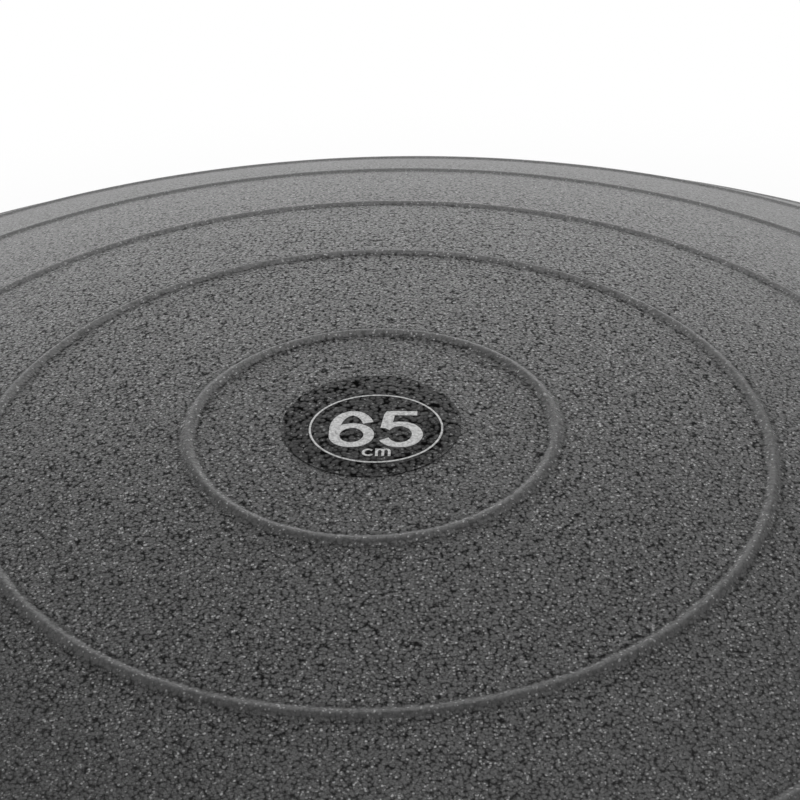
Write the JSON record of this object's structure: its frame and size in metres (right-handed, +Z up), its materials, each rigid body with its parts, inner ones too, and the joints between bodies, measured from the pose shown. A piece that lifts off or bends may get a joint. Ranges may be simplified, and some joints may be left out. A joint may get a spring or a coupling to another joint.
{
  "type": "balance dome trainer",
  "caption": "Air-filled black rubber dome with pebbled skin and concentric raised ribs, clamped to a rigid round platform with handholds, rubber feet and a plugged air valve beneath.",
  "frame": {"origin": "on the floor under the crown of the dome, at the centre of the platform", "axes": "+Z up through the crown of the dome; +X towards the right handhold; the air valve lies on -Y"},
  "size_m": [0.6499, 0.65, 0.2504],
  "materials": {
    "dome_rubber": "pebbled satin, black",
    "mark_rubber": "coarse pebbled satin, black, with pale size numerals",
    "ring_plastic": "satin, dark grey",
    "deck_plastic": "satin, near black",
    "pan_plastic": "fine-textured matt, near black",
    "grip_rubber": "matt, dark grey",
    "foot_rubber": "matt, dark grey",
    "seal_rubber": "smooth, black",
    "screw_steel": "zinc plated",
    "valve_plastic": "satin, mid grey",
    "plug_plastic": "gloss, pale grey"
  },
  "bodies": {
    "platform": {"dome_shell": "dome_rubber", "clamp_ring": "ring_plastic", "rim_seal": "seal_rubber", "deck_plate": "deck_plastic", "base_pan": "pan_plastic", "stiffening_grid": "pan_plastic", "clamp_screws": "screw_steel", "deck_screws": "screw_steel", "foot_screws": "screw_steel", "grip_left": "grip_rubber", "grip_right": "grip_rubber", "valve_body": "valve_plastic", "valve_washer": "seal_rubber", "valve_nut": "valve_plastic", "foot_1": "foot_rubber", "foot_2": "foot_rubber", "foot_3": "foot_rubber", "foot_4": "foot_rubber", "foot_5": "foot_rubber", "foot_6": "foot_rubber", "foot_7": "foot_rubber", "foot_8": "foot_rubber"},
    "crown": {"size_patch": "mark_rubber"},
    "plug": {"valve_plug": "plug_plastic"}
  },
  "joints": [
    {"name": "dome_press", "type": "slide", "parent": "platform", "child": "crown", "axis": [0, 0, -1], "range_m": [0, 0.06], "stiffness_N_per_m": 13000, "deforming": ["dome_shell"]},
    {"name": "plug_pull", "type": "slide", "parent": "platform", "child": "plug", "axis": [0, 0, -1], "range_m": [0, 0.03]}
  ]
}
